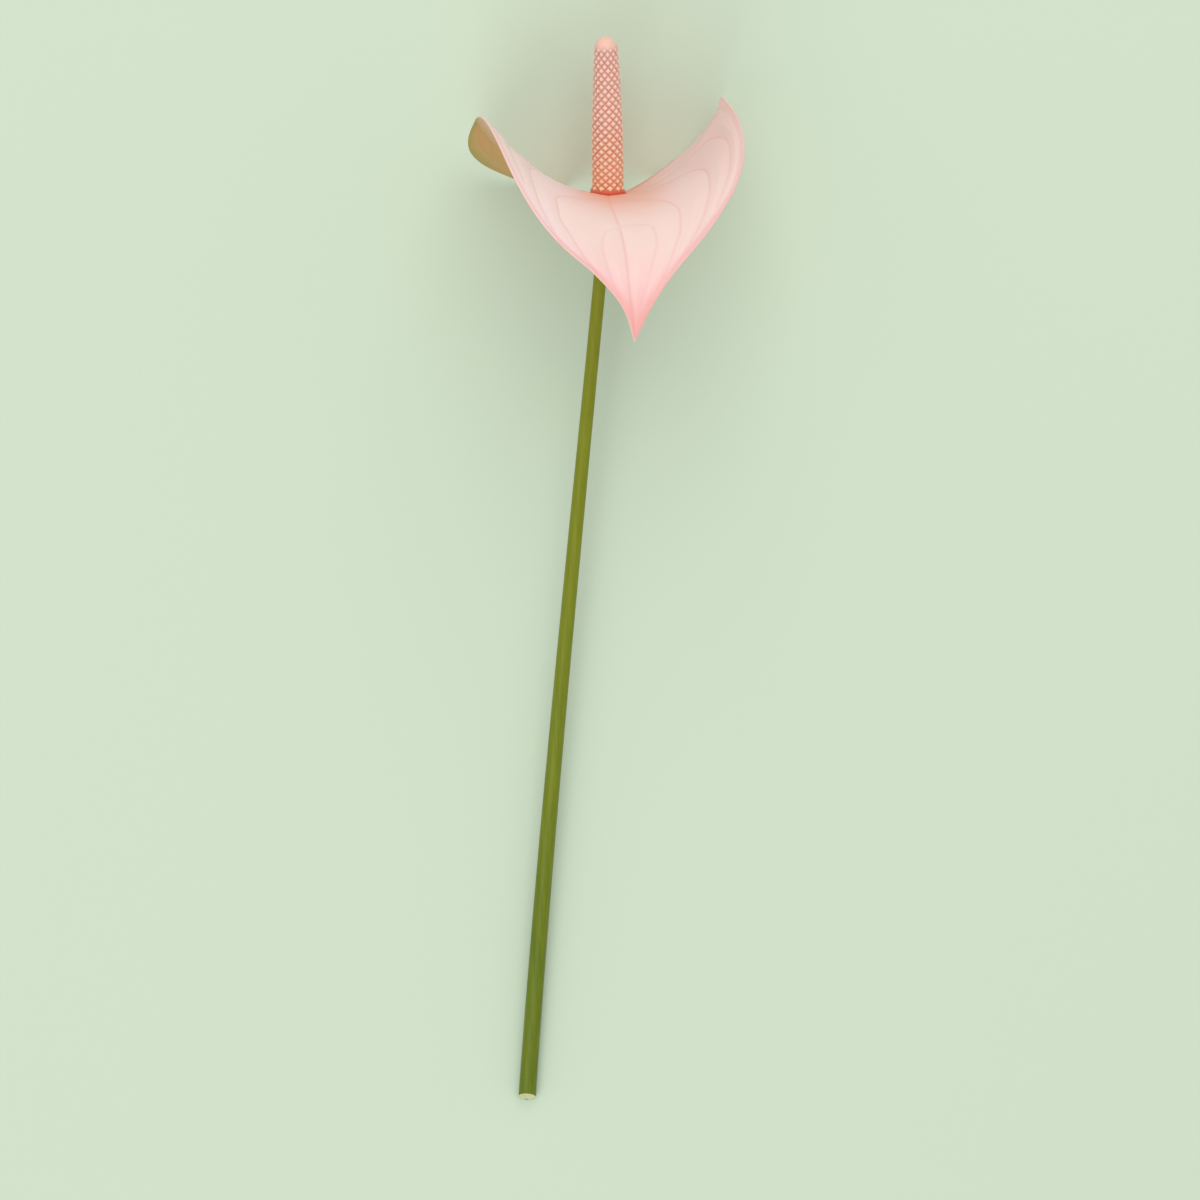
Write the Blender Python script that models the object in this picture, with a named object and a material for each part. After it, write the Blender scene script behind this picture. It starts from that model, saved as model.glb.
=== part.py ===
# A cut anthurium flower laid on its back: a slim round stalk, a heart-shaped waxy spathe and a
# spadix covered in tiny florets. Metres, +Z up, the flower at the +Y end of the stalk. It rests
# on the rear edges of the spathe's two lobes and on the stalk's cut end, the spathe's tip in the
# air. The origin is on the surface it lies on, under the middle of the whole stem.

import math

import bpy
import numpy as np
from mathutils import Euler

MM = 0.001
GAP = 0.3 * MM                               # left between neighbouring pieces
ATTACHMENT = np.array([0.65, 86.58, 13.5]) * MM     # where stalk, spathe and spadix meet
SHARP_ANGLE = 50                             # degrees between two faces that show as an edge

# Spathe, flat: a heart drawn in rays from the attachment. Each pair is a share of its length and
# the angle from the midrib, in degrees, that the blade reaches there, left lobe first.
SPATHE_LENGTH = 60.5 * MM
SPATHE_THICKNESS = 0.9 * MM
HALF_ANGLE = (
    ((0, 170.7), (0.12, 155.7), (0.25, 152.3), (0.4, 124.5), (0.52, 108.2), (0.65, 47.6),
     (0.78, 10.2), (0.9, 2.1), (1, 0)),
    ((0, 170.7), (0.12, 155.3), (0.25, 140.8), (0.4, 122.7), (0.52, 95.4), (0.65, 28.5),
     (0.78, 10.1), (0.9, 3.1), (1, 0)),
)
SPATHE_ROWS = 36
SPATHE_COLUMNS = 44
MARGIN_SAMPLES = 400                         # for measuring along the margin

# Spathe, bent. Pairs are for the left and the right lobe. Angles are degrees.
RISE = (2.41 / MM, 2.12 / MM)                # slope across the blade, by distance from the midrib
RISE_GROWTH = (-0.024 / MM**2, 0.006 / MM**2)
RISE_AHEAD = (0.38, -0.22)                   # change of that slope over one length to the front
RISE_AHEAD_GROWTH = -1.08
RISE_BEHIND = (2.29, 1.17)                   # and over one length to the rear
DROOP = -0.12 / MM                           # downward slope along the midrib, to the front
DROOP_GROWTH = 0.031 / MM**2
REAR_BEND = (-1.72 / MM, 1.00 / MM)          # and to the rear, by distance
REAR_CURL = (0.141 / MM**2, -0.267 / MM**2)
SWELL = (-4.7 * MM, 25.9 * MM)               # rise off the face along a ray of each lobe, at full length
SWELL_RAY = (87, 114)
SWELL_WIDTH = 26                             # either side of that ray
SPATHE_TURN = 7.1                            # about its own face's normal
SPATHE_LEAN = 8.4                            # of the whole blade, back over the spadix
BEND_STEPS = 24
STEPS = (np.arange(BEND_STEPS) + 0.5) / BEND_STEPS   # where a bend is summed up along a line
NORMAL_STEP = 0.05 * MM

# Spadix: heights are measured from the attachment along its axis.
SPADIX_AXIS = np.array([-0.004, 0.996, 0.087])
SPADIX_LENGTH = 34.4 * MM
SPADIX_BEND = -0.35 * MM                     # sideways, at the tip
SPADIX_RADIUS = ((0, 3.28 * MM), (0.4, 3.2 * MM), (0.7, 2.85 * MM), (0.94, 2.4 * MM))
SPADIX_DOME = 2.5 * MM                       # length of its smooth round top
DOME_LAPS = (0.45, 0.75, 0.93)               # rings on the dome, as shares of its length
FLORETS_AROUND = 11
FLORET_ROWS = 37
FLORET_RELIEF = 0.28 * MM
FLORET_TOP = 0.6                             # width of a floret's flat top, as a share of its base
BASE_FADE = 9 * MM                           # height over which the slanted base straightens out
DISH = 0.3 * MM                              # dip of the spathe's face under the spadix

# Stalk: a curve from the attachment to the cut, as offsets from the attachment.
STALK_ROUTE = np.array([[0, 0, 0], [-6.3, -68, -4.2], [-13.5, -140, -8.8], [-18, -206, -11.7]]) * MM
STALK_RADIUS = ((0, 2.5 * MM), (0.012, 2.2 * MM), (0.05, 1.5 * MM), (0.1, 1.38 * MM), (0.4, 1.55 * MM),
                (0.75, 1.8 * MM), (1, 1.95 * MM))
STALK_SIDES = 14
STALK_RINGS = 30
RING_CROWDING = 1.3                          # above 1, rings are closer together under the flower
CUT_SLANT = 38                               # of the cut from square, in degrees
FLARE_FADE = 6 * MM                          # length over which the slanted top straightens out

# Each finish is a colour and a roughness.
PETAL_PINK = (0.90, 0.58, 0.53), 0.38
SPADIX_CORAL = (0.82, 0.40, 0.28), 0.55
STALK_GREEN = (0.24, 0.27, 0.02), 0.42


def smooth(knots, at):
    """Value at a place, on a curve through (place, value) knots that never overshoots them."""
    place, value = np.array(knots, float).T
    step = np.diff(place)
    rise = np.diff(value) / step
    total = rise[:-1] + rise[1:]
    total[total == 0] = 1
    inner = np.where(rise[:-1] * rise[1:] > 0, 2 * rise[:-1] * rise[1:] / total, 0)
    slope = np.concatenate([rise[:1], inner, rise[-1:]])
    i = np.clip(np.searchsorted(place, at, side="right") - 1, 0, len(step) - 1)
    t = (at - place[i]) / step[i]
    return (value[i] * (1 + 2 * t) * (1 - t)**2 + value[i + 1] * t**2 * (3 - 2 * t)
            + step[i] * t * (1 - t) * (slope[i] * (1 - t) - slope[i + 1] * t))


def bend_blade(across, along):
    """Points (across, off the face, along) of the bent blade, for places on the flat one."""
    across, along = np.asarray(across)[..., None], np.asarray(along)[..., None]
    left = across < 0

    def lobe(pair):
        return np.where(left, *pair)

    reach = abs(across) * STEPS
    run = along / SPATHE_LENGTH
    change = np.where(along < 0, lobe(RISE_BEHIND), lobe(RISE_AHEAD) + RISE_AHEAD_GROWTH * run) * run
    rise = np.radians((lobe(RISE) * reach + lobe(RISE_GROWTH) * reach**2) * (1 + change))
    lift = np.sin(rise).mean(-1) * abs(across[..., 0])

    def droop(run):
        behind = lobe(REAR_BEND) * run - lobe(REAR_CURL) * run**2
        return np.radians(np.where(along < 0, behind, DROOP * run + DROOP_GROWTH * run**2))

    slope = droop(along * STEPS)
    end_slope = droop(along)[..., 0]
    ray = np.degrees(np.arctan2(abs(across), along))
    share = np.hypot(across, along) / SPATHE_LENGTH
    swell = lobe(SWELL) * share**2 * np.exp(-((ray - lobe(SWELL_RAY)) / SWELL_WIDTH)**2)
    return np.stack([
        np.cos(rise).mean(-1) * across[..., 0],
        lift * np.cos(end_slope) - np.sin(slope).mean(-1) * along[..., 0] + swell[..., 0],
        lift * np.sin(end_slope) + np.cos(slope).mean(-1) * along[..., 0]], axis=-1)


def blade_normal(across, along):
    """Unit normals of the bent blade, out of its upper face."""
    over = bend_blade(across + NORMAL_STEP, along) - bend_blade(across - NORMAL_STEP, along)
    ahead = bend_blade(across, along + NORMAL_STEP) - bend_blade(across, along - NORMAL_STEP)
    normal = np.cross(ahead, over)
    return normal / np.linalg.norm(normal, axis=-1, keepdims=True)


def place_blade(points):
    """Turn and lean the blade's own points, and set them at the attachment."""
    lean = Euler((math.radians(-SPATHE_LEAN), 0, 0)).to_matrix()
    turn = Euler((0, math.radians(SPATHE_TURN), 0)).to_matrix()
    return points @ np.array(lean @ turn).T + ATTACHMENT


def face_direction():
    """Normal of the spathe's upper face at the attachment."""
    return place_blade(np.array([0.0, 1.0, 0.0])) - ATTACHMENT


def material(name, colour, roughness):
    """A plain waxy plant skin."""
    skin = bpy.data.materials.new(name)
    skin.use_nodes = True
    shader = skin.node_tree.nodes["Principled BSDF"]
    shader.inputs["Base Color"].default_value = (*colour, 1)
    shader.inputs["Roughness"].default_value = roughness
    shader.inputs["Metallic"].default_value = 0
    return skin


def add_piece(name, points, faces, skin):
    """One closed solid from its points and faces."""
    mesh = bpy.data.meshes.new(name)
    mesh.from_pydata([tuple(point) for point in points], [], faces)
    mesh.materials.append(skin)
    mesh.shade_smooth()
    mesh.set_sharp_from_angle(angle=math.radians(SHARP_ANGLE))
    mesh.validate()
    piece = bpy.data.objects.new(name, mesh)
    bpy.context.collection.objects.link(piece)
    return piece


def split_quad(a, b, c, d, other_way):
    """Two triangles for the quad a, b, c, d; at a pole, where two corners are one, only one."""
    pair = ((a, b, d), (b, c, d)) if other_way else ((a, b, c), (a, c, d))
    return [face for face in pair if len(set(face)) == 3]


def flat_place(share, side):
    """Place on the flat blade: a share of its length, and a side from -1 to 1, margin to margin."""
    left, right = (smooth(knots, share) for knots in HALF_ANGLE)
    ray = np.radians(np.where(side < 0, left, right)) * side
    return SPATHE_LENGTH * share * np.sin(ray), SPATHE_LENGTH * share * np.cos(ray)


def row_shares():
    """Rows spaced half by distance from the attachment and half by length along both margins."""
    share = np.linspace(0, 1, MARGIN_SAMPLES)
    margins = [bend_blade(*flat_place(share, side)) for side in (-1, 1)]
    steps = sum(np.linalg.norm(np.diff(margin, axis=0), axis=1) for margin in margins)
    run = np.concatenate([[0], steps.cumsum()])
    return np.interp(np.linspace(0, 1, SPATHE_ROWS + 1), (run / run[-1] + share) / 2, share)


def build_spathe():
    """A sheet of even thickness: rows are arcs round the attachment, columns run to the tip."""
    share = row_shares()[:, None]
    side = np.linspace(-1, 1, SPATHE_COLUMNS + 1)[None, :]
    across, along = flat_place(share, side)
    middle, normal = bend_blade(across, along), blade_normal(across, along)
    upper = place_blade(middle + normal * SPATHE_THICKNESS / 2)
    lower = place_blade(middle - normal * SPATHE_THICKNESS / 2)

    points, number = [], {}
    for sheet, grid in enumerate((upper, lower)):
        for row in range(SPATHE_ROWS + 1):
            pole = row in (0, SPATHE_ROWS)
            for column in range(SPATHE_COLUMNS + 1):
                if not pole or column == 0:
                    points.append(grid[row, SPATHE_COLUMNS // 2 if pole else column])
                number[sheet, row, column] = len(points) - 1

    faces = []
    for row in range(SPATHE_ROWS):
        for column in range(SPATHE_COLUMNS):
            corners = ((row, column), (row + 1, column), (row + 1, column + 1), (row, column + 1))
            for sheet in (0, 1):
                quad = split_quad(*(number[sheet, r, c] for r, c in corners),
                                  column < SPATHE_COLUMNS // 2)
                faces += quad if sheet == 0 else [face[::-1] for face in quad]
        for column in (0, SPATHE_COLUMNS):
            wall = [number[0, row, column], number[1, row, column],
                    number[1, row + 1, column], number[0, row + 1, column]]
            faces += split_quad(*(wall if column == 0 else wall[::-1]), False)

    points = np.array(points)
    points[:, 2] = np.maximum(points[:, 2], 0)      # pressed flat where a lobe rests
    return add_piece("spathe", points, faces, material("petal_pink", *PETAL_PINK))


def slide_to_face(radial, axis, offset):
    """How far along its axis a ring's point slides to lie at an offset from the spathe's middle."""
    face = face_direction()
    return (offset - radial @ face) / (axis @ face)


def build_spadix():
    """A tapering spike. Its skin is a diagonal lattice of grooves round flat-topped florets."""
    axis = SPADIX_AXIS / np.linalg.norm(SPADIX_AXIS)
    sideways = np.cross(axis, [0, 0, 1])
    sideways /= np.linalg.norm(sideways)
    down = np.cross(axis, sideways)
    lattice_top = SPADIX_LENGTH - SPADIX_DOME
    clearance = SPATHE_THICKNESS / 2 + GAP + DISH

    def skin(angle, height, relief):
        """A point on the spike, a share of the florets' relief above the grooves."""
        radius = smooth(SPADIX_RADIUS, height / SPADIX_LENGTH) + (relief - 1) * FLORET_RELIEF
        if height > lattice_top:
            radius *= math.sqrt(max(0, 1 - ((height - lattice_top) / SPADIX_DOME)**2))
        radial = radius * (math.cos(angle) * sideways + math.sin(angle) * down)
        slide = slide_to_face(radial, axis, clearance) * max(0, 1 - height / BASE_FADE)
        bow = SPADIX_BEND * (height / SPADIX_LENGTH)**2 * sideways
        return ATTACHMENT + radial + bow + (height + slide) * axis

    turn = math.pi / FLORETS_AROUND
    pitch = lattice_top / FLORET_ROWS
    points, faces, number = [], [], {}

    def add(key, *place):
        points.append(skin(*place))
        number[key] = len(points) - 1

    for row in range(FLORET_ROWS + 1):
        for k in range(FLORETS_AROUND):
            add((row, (2 * k + row) % (2 * FLORETS_AROUND)), (2 * k + row) * turn, row * pitch, 0)

    def groove(row, column):
        return number[row, column % (2 * FLORETS_AROUND)]

    for row in range(1, FLORET_ROWS):
        for k in range(FLORETS_AROUND):
            column = 2 * k + row + 1
            around = [(row - 1, column), (row, column + 1), (row + 1, column), (row, column - 1)]
            base = [groove(*corner) for corner in around]
            top = []
            for corner_row, corner_column in around:
                add("top", (column + FLORET_TOP * (corner_column - column)) * turn,
                    (row + FLORET_TOP * (corner_row - row)) * pitch, 1)
                top.append(number["top"])
            faces.append(tuple(top))
            for i in range(4):
                faces.append((base[i], base[(i + 1) % 4], top[(i + 1) % 4], top[i]))
    for k in range(FLORETS_AROUND):
        faces.append((groove(0, 2 * k), groove(0, 2 * k + 2), groove(1, 2 * k + 1)))
        column = 2 * k + FLORET_ROWS
        faces.append((groove(FLORET_ROWS, column + 2), groove(FLORET_ROWS, column),
                      groove(FLORET_ROWS - 1, column + 1)))
    faces.append(tuple(groove(0, 2 * k) for k in reversed(range(FLORETS_AROUND))))

    rim = [groove(FLORET_ROWS, 2 * k + FLORET_ROWS) for k in range(FLORETS_AROUND)]
    for lap in DOME_LAPS:
        ring = []
        for k in range(FLORETS_AROUND):
            add("dome", (2 * k + FLORET_ROWS) * turn, lattice_top + lap * SPADIX_DOME, 0.5)
            ring.append(number["dome"])
        faces += [(rim[k - 1], rim[k], ring[k], ring[k - 1]) for k in range(FLORETS_AROUND)]
        rim = ring
    add("apex", 0, SPADIX_LENGTH, 0)
    faces += [(rim[k - 1], rim[k], number["apex"]) for k in range(FLORETS_AROUND)]
    return add_piece("spadix", points, faces, material("spadix_coral", *SPADIX_CORAL))


def build_stalk():
    """A round tube of changing radius, its top cut to the spathe's underside, its end slantwise."""
    share = np.linspace(0, 1, STALK_RINGS + 1)**RING_CROWDING
    a, b, c, d = (point[None, :] for point in STALK_ROUTE)
    t = share[:, None]
    centre = ATTACHMENT + (1 - t)**3 * a + 3 * (1 - t)**2 * t * b + 3 * (1 - t) * t**2 * c + t**3 * d
    along = 3 * (1 - t)**2 * (b - a) + 6 * (1 - t) * t * (c - b) + 3 * t**2 * (d - c)
    along /= np.linalg.norm(along, axis=1, keepdims=True)
    length = np.linalg.norm(STALK_ROUTE[-1])
    clearance = -(SPATHE_THICKNESS / 2 + GAP)
    slant = math.tan(math.radians(CUT_SLANT))

    points = []
    for ring in range(STALK_RINGS + 1):
        sideways = np.cross(along[ring], [0, 0, 1])
        sideways /= np.linalg.norm(sideways)
        up = np.cross(sideways, along[ring])
        radius = smooth(STALK_RADIUS, share[ring])
        fade = max(0, 1 - share[ring] * length / FLARE_FADE)
        for k in range(STALK_SIDES):
            angle = 2 * math.pi * (k + 0.5) / STALK_SIDES
            radial = radius * (math.cos(angle) * sideways + math.sin(angle) * up)
            slide = fade * slide_to_face(radial, along[ring], clearance)
            if ring == STALK_RINGS:
                slide -= radius * math.sin(angle) * slant
            points.append(centre[ring] + radial + slide * along[ring])

    faces = [tuple(range(STALK_SIDES)), tuple(reversed(range(len(points) - STALK_SIDES, len(points))))]
    for ring in range(STALK_RINGS):
        near, far = ring * STALK_SIDES, (ring + 1) * STALK_SIDES
        for k in range(STALK_SIDES):
            after = (k + 1) % STALK_SIDES
            faces.append((near + after, near + k, far + k, far + after))
    points = np.array(points)
    points[:, 2] = np.maximum(points[:, 2], 0)      # a small flat where the cut end rests
    return add_piece("stem", points, faces, material("stalk_green", *STALK_GREEN))


for old in list(bpy.data.objects):
    bpy.data.objects.remove(old)
build_stalk()
build_spathe()
build_spadix()
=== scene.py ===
# A cut anthurium flower laid on its back: a slim green stalk, a pale pink heart-shaped spathe and
# a coral spadix. Metres, +Z up, the flower at the +Y end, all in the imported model's own frame.

import math

import bpy
import numpy as np
from mathutils import Euler, Matrix, Vector


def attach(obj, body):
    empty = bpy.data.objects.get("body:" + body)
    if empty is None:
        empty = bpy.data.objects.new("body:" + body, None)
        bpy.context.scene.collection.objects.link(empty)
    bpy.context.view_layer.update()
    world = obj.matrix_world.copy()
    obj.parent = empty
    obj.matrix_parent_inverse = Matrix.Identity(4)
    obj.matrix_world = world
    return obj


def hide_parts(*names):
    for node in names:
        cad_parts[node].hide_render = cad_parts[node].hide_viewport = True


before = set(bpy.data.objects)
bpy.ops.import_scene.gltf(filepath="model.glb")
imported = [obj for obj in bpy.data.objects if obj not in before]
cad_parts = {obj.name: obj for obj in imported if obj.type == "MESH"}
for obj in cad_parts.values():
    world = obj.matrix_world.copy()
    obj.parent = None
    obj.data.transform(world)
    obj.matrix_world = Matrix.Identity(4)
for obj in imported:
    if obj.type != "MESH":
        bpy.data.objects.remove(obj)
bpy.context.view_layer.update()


# Stalk. The real one is a leafless flower stalk, round, solid and juicy, grown in one with the
# flower. It swells where it carries the spathe, thickens towards its foot and is cut there with
# a slanting stroke of a knife.
MM = 0.001
ATTACHMENT = np.array([0.65, 86.58, 13.5]) * MM      # where stalk, spathe and spadix meet
SPATHE_TURN = 7.1                                    # about its face's normal, degrees
SPATHE_LEAN = 8.4                                    # back over the spadix, degrees
STALK_ROUTE = np.array([[0, 0, 0], [-6.3, -68, -4.2],
                        [-13.5, -140, -8.8], [-18, -206, -11.7]]) * MM
STALK_RADIUS = ((0, 2.5 * MM), (0.012, 2.2 * MM), (0.05, 1.5 * MM), (0.1, 1.38 * MM),
                (0.4, 1.55 * MM), (0.75, 1.8 * MM), (1, 1.95 * MM))      # at a share of the way
STALK_SIDES = 48
STALK_RINGS = 150
RING_CROWDING = 1.3                                  # rings lie closer under the flower
STALK_SINK = 0.1 * MM                                # of its top under the spathe's middle
FLARE_FADE = 6 * MM                                  # past this the rings stand square to the route
CUT_SLANT = 38                                       # degrees
CUT_RINGS = ((0.97, 0), (0.9, -0.05 * MM),
             (0.6, -0.12 * MM), (0.3, -0.15 * MM))   # share of the radius, hollow of the cut


def smooth(knots, at):
    """Value at a place, on a curve through (place, value) knots that never overshoots them."""
    place, value = np.array(knots, float).T
    step = np.diff(place)
    rise = np.diff(value) / step
    total = rise[:-1] + rise[1:]
    total[total == 0] = 1
    inner = np.where(rise[:-1] * rise[1:] > 0, 2 * rise[:-1] * rise[1:] / total, 0)
    slope = np.concatenate([rise[:1], inner, rise[-1:]])
    i = np.clip(np.searchsorted(place, at, side="right") - 1, 0, len(step) - 1)
    t = (at - place[i]) / step[i]
    return (value[i] * (1 + 2 * t) * (1 - t)**2 + value[i + 1] * t**2 * (3 - 2 * t)
            + step[i] * t * (1 - t) * (slope[i] * (1 - t) - slope[i + 1] * t))


def place_blade(points):
    """Turn and lean points of the spathe's own blade, and set them at the attachment."""
    lean = Euler((math.radians(-SPATHE_LEAN), 0, 0)).to_matrix()
    turn = Euler((0, math.radians(SPATHE_TURN), 0)).to_matrix()
    return points @ np.array(lean @ turn).T + ATTACHMENT


FACE = place_blade(np.array([0.0, 1.0, 0.0])) - ATTACHMENT      # out of the spathe's upper face


def slide_to_face(radial, axis, offset):
    """How far along its axis a ring's point slides to lie at an offset from the spathe's middle."""
    return (offset - radial @ FACE) / (axis @ FACE)


def linear(colour):
    """Linear RGBA of an sRGB hex colour."""
    parts = [int(colour[i:i + 2], 16) / 255 for i in (1, 3, 5)]
    return (*[c / 12.92 if c <= 0.04045 else ((c + 0.055) / 1.055)**2.4 for c in parts], 1)


def set_inputs(tree, node, inputs):
    """Give each input of a node its value, or a link from another node's output."""
    for socket, value in inputs.items():
        if isinstance(value, bpy.types.NodeSocket):
            tree.links.new(value, node.inputs[socket])
        else:
            node.inputs[socket].default_value = value


def add_node(tree, kind, inputs=(), **settings):
    """Add one node with its settings and inputs."""
    node = tree.nodes.new(kind)
    for name, value in settings.items():
        setattr(node, name, value)
    set_inputs(tree, node, dict(inputs))
    return node


def lay_tints(tree, colour, tints):
    """Lay tints over a colour in turn, each as strongly as the product of its covers says."""
    for tint, cover, *others in tints:
        for other in others:
            cover = add_node(tree, "ShaderNodeMath", {0: cover, 1: other},
                             operation="MULTIPLY").outputs[0]
        tint = linear(tint) if isinstance(tint, str) else tint
        colour = add_node(tree, "ShaderNodeMix", {0: cover, 6: colour, 7: tint},
                          data_type="RGBA").outputs[2]
    return colour


def new_material(name):
    """An empty material: its tree and its Principled shader."""
    skin = bpy.data.materials.new(name)
    skin.use_nodes = True
    return skin, skin.node_tree, skin.node_tree.nodes["Principled BSDF"]


def new_piece(name, points, faces, materials, face_material=None):
    """One smooth-shaded mesh."""
    mesh = bpy.data.meshes.new(name)
    mesh.from_pydata(np.asarray(points).tolist(), [], faces)
    for skin in materials:
        mesh.materials.append(skin)
    if face_material is not None:
        mesh.polygons.foreach_set("material_index", face_material)
    mesh.shade_smooth()
    piece = bpy.data.objects.new(name, mesh)
    bpy.context.collection.objects.link(piece)
    return piece


def join_rings(near, far, sides, flip=False):
    """Faces between two rings of points, each given by the number of its first point."""
    for k in range(sides):
        here, after = ((k + 1) % sides, k) if flip else (k, (k + 1) % sides)
        yield near + here, near + after, far + after, far + here


def close_ring(ring, tip, sides, flip=False):
    """Faces from a ring of points to a single one."""
    for k in range(sides):
        here, after = ((k + 1) % sides, k) if flip else (k, (k + 1) % sides)
        yield ring + here, ring + after, tip


share = np.linspace(0, 1, STALK_RINGS + 1)**RING_CROWDING
a, b, c, d = (point[None, :] for point in STALK_ROUTE)
t = share[:, None]
centre = (ATTACHMENT + (1 - t)**3 * a + 3 * (1 - t)**2 * t * b + 3 * (1 - t) * t**2 * c
          + t**3 * d)
heading = 3 * (1 - t)**2 * (b - a) + 6 * (1 - t) * t * (c - b) + 3 * t**2 * (d - c)
heading /= np.linalg.norm(heading, axis=1, keepdims=True)
stalk_length = np.linalg.norm(STALK_ROUTE[-1])
angles = 2 * math.pi * (np.arange(STALK_SIDES) + 0.5) / STALK_SIDES
points, faces = [], []
for ring in range(STALK_RINGS + 1):
    sideways = np.cross(heading[ring], [0, 0, 1])
    sideways /= np.linalg.norm(sideways)
    up = np.cross(sideways, heading[ring])
    radius = smooth(STALK_RADIUS, share[ring])
    fade = max(0, 1 - share[ring] * stalk_length / FLARE_FADE)
    for angle in angles:
        radial = radius * (math.cos(angle) * sideways + math.sin(angle) * up)
        slide = fade * slide_to_face(radial, heading[ring], -STALK_SINK)
        if ring == STALK_RINGS:
            slide -= radius * math.sin(angle) * math.tan(math.radians(CUT_SLANT))
        points.append(centre[ring] + radial + slide * heading[ring])
for ring in range(STALK_RINGS):
    faces += join_rings(ring * STALK_SIDES, (ring + 1) * STALK_SIDES, STALK_SIDES, flip=True)
faces.append(tuple(range(STALK_SIDES)))
skin_faces = len(faces)
rim = np.array(points[-STALK_SIDES:])
middle = rim.mean(axis=0)
for size, hollow in CUT_RINGS:
    points += list(middle + (rim - middle) * size + hollow * heading[-1])
    far = len(points) - STALK_SIDES
    faces += join_rings(far - STALK_SIDES, far, STALK_SIDES, flip=True)
points.append(middle + CUT_RINGS[-1][1] * heading[-1])
faces += close_ring(far, len(points) - 1, STALK_SIDES, flip=True)
points = np.array(points)
points[:, 2] = np.maximum(points[:, 2], 0)

# Green stalk skin: smooth and faintly waxy, with streaks half a millimetre wide along it. It is
# tan just under the flower, olive green below that and darker towards the foot.
stalk_skin, tree, shader = new_material("green_stalk_skin")
place = add_node(tree, "ShaderNodeTexCoord").outputs["Object"]
along = add_node(tree, "ShaderNodeSeparateXYZ", {0: place}).outputs["Y"]
stretch = add_node(tree, "ShaderNodeMapping", {"Vector": place, "Scale": (1, 0.03, 1)}).outputs[0]
streaks = add_node(tree, "ShaderNodeTexNoise",
                   {"Vector": stretch, "Scale": 1800, "Detail": 3}).outputs[0]
mottle = add_node(tree, "ShaderNodeTexNoise",
                  {"Vector": place, "Scale": 90, "Detail": 2}).outputs[0]
cover = {}
for name, measure, start, end, most, ease in (
        ("foot", along, 0.075, -0.1, 1, "LINEAR"),
        ("top", along, 0.066, 0.088, 1, "SMOOTHSTEP"),
        ("streak", streaks, 0.35, 0.7, 0.25, "LINEAR"),
        ("mottle", mottle, 0.4, 0.75, 0.3, "LINEAR")):
    cover[name] = add_node(tree, "ShaderNodeMapRange",
                           {"Value": measure, "From Min": start, "From Max": end, "To Max": most},
                           interpolation_type=ease).outputs[0]
colour = lay_tints(tree, linear("#868910"), (
    ("#586C06", cover["foot"]), ("#A18A38", cover["top"]), ("#9AA426", cover["streak"]),
    ("#727B0E", cover["mottle"])))
relief = add_node(tree, "ShaderNodeBump",
                  {"Height": streaks, "Strength": 0.25, "Distance": 0.06 * MM}).outputs[0]
set_inputs(tree, shader, {
    "Base Color": colour, "Normal": relief, "Roughness": 0.38, "Specular IOR Level": 0.35,
    "IOR": 1.42, "Subsurface Weight": 0.12, "Subsurface Radius": (0.6, 1.0, 0.3),
    "Subsurface Scale": 0.6 * MM})

# Fresh cut stalk: moist, pale green-white pith with a scatter of darker bundles, 0.4 mm apart.
cut_flesh, tree, shader = new_material("fresh_cut_pith")
place = add_node(tree, "ShaderNodeTexCoord").outputs["Object"]
cells = add_node(tree, "ShaderNodeTexVoronoi",
                 {"Vector": place, "Scale": 2400, "Randomness": 0.8}).outputs["Distance"]
bundle = add_node(tree, "ShaderNodeMapRange", {"Value": cells, "From Min": 0.2, "From Max": 0.38,
                                               "To Min": 1, "To Max": 0}).outputs[0]
colour = lay_tints(tree, linear("#D9DCA6"), (("#9BA75A", bundle),))
relief = add_node(tree, "ShaderNodeBump",
                  {"Height": bundle, "Strength": 0.4, "Distance": 0.05 * MM}).outputs[0]
set_inputs(tree, shader, {"Base Color": colour, "Normal": relief, "Roughness": 0.3, "IOR": 1.38})

stalk = new_piece("cut_stalk", points, faces, [stalk_skin, cut_flesh],
                  [0] * skin_faces + [1] * (len(faces) - skin_faces))
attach(stalk, "root")
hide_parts("stem")


# Spathe. The real one is a single waxy leaf-like blade, about 1 mm thick at the stalk and thinner
# at its rounded margin, with a groove for its midrib, looping side veins, two lobes swept back
# past the stalk and a drawn-out tip. Its back is duller, tan to olive.
SPATHE_LENGTH = 60.5 * MM
SHEET = 0.9 * MM
MARGIN_SHEET = 0.5 * MM
THINNING = 14 * MM                                   # width over which the blade thins
THINNING_CURVE = 0.7
MARGIN_ROUND = 0.4 * MM                              # width over which the margin rounds off
RIM_PLACES = ((0, 0), (0.05 * MM, 0.02), (0.17 * MM, 0.07),
              (0.42 * MM, 0.16))                     # from the margin, and the most as a share
RIM_STEP = 0.01                                      # least share from these to the next column
SPATHE_ROWS = 180
SPATHE_COLUMNS = 220
MARGIN_SAMPLES = 400

# Half the angle that the flat heart fills at a share of its length, left and right, degrees.
HALF_ANGLE = (
    ((0, 170.7), (0.12, 155.7), (0.25, 152.3), (0.4, 124.5), (0.52, 108.2), (0.65, 47.6),
     (0.78, 10.2), (0.9, 2.1), (1, 0)),
    ((0, 170.7), (0.12, 155.3), (0.25, 140.8), (0.4, 122.7), (0.52, 95.4), (0.65, 28.5),
     (0.78, 10.1), (0.9, 3.1), (1, 0)),
)

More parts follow.
